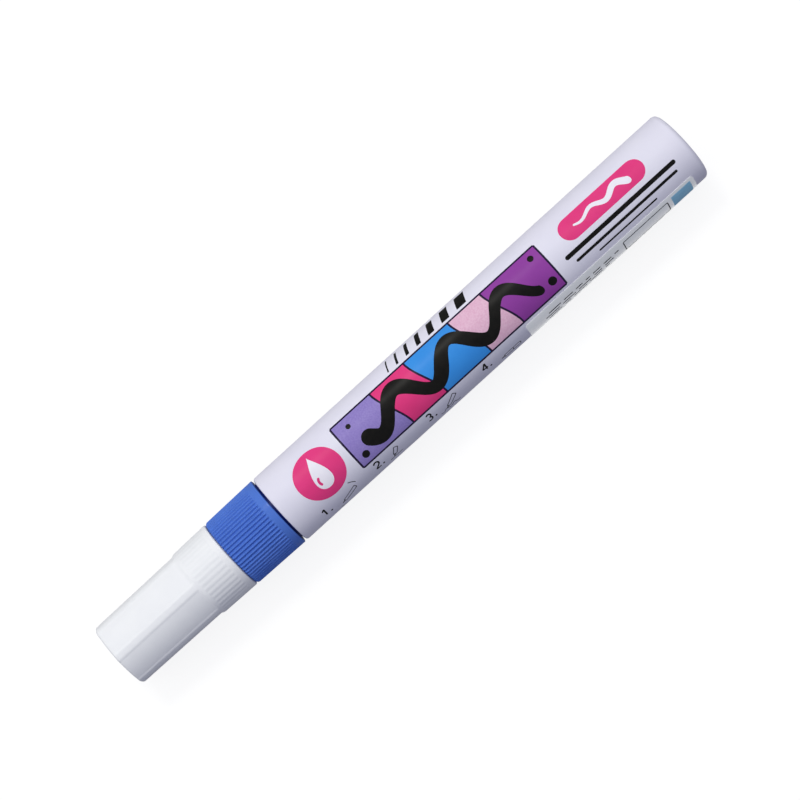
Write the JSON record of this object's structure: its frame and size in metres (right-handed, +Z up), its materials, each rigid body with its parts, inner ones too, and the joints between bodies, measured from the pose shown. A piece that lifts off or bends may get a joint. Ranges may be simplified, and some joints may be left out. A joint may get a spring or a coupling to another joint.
{
  "type": "paint marker",
  "caption": "Round valve-action paint marker on its side: lacquered barrel, fluted colour collar, ribbed pull-off cap, sprung nib valve and a loose mixing ball.",
  "frame": {"origin": "on the surface that the marker lies on, below its axis at the middle of its length", "axes": "+X along the marker's axis towards its closed rear end, the cap towards -X, +Z up"},
  "size_m": [0.1384, 0.0149, 0.0148],
  "materials": {
    "barrel_lacquer": "satin",
    "collar_plastic": "satin",
    "holder_plastic": "satin",
    "seal_rubber": "matte",
    "valve_plastic": "satin",
    "spring_steel": "polished",
    "sticker_film": "gloss",
    "nib_fibre": "matte",
    "ball_steel": "polished",
    "cap_plastic": "satin",
    "liner_plastic": "satin"
  },
  "bodies": {
    "marker": {"barrel": "barrel_lacquer", "collar": "collar_plastic", "nib_holder": "holder_plastic", "barrel_gasket": "seal_rubber", "valve_seat": "seal_rubber", "valve_cage": "valve_plastic", "valve_spring": "spring_steel", "side_sticker": "sticker_film"},
    "cap": {"cap_shell": "cap_plastic", "cap_liner": "liner_plastic"},
    "nib_and_valve": {"nib": "nib_fibre", "valve_rod": "valve_plastic"},
    "ball": {"mixing_ball": "ball_steel"}
  },
  "joints": [
    {"name": "cap_pull", "type": "slide", "parent": "marker", "child": "cap", "axis": [-1, 0, 0], "range_m": [0, 0.04]},
    {"name": "nib_press", "type": "slide", "parent": "marker", "child": "nib_and_valve", "axis": [1, 0, 0], "range_m": [0, 0.002], "stiffness_N_per_m": 1200, "deforming": ["valve_spring"]},
    {"name": "ball_roll", "type": "slide", "parent": "marker", "child": "ball", "axis": [1, 0, 0], "range_m": [-0.038, 0.035]}
  ]
}
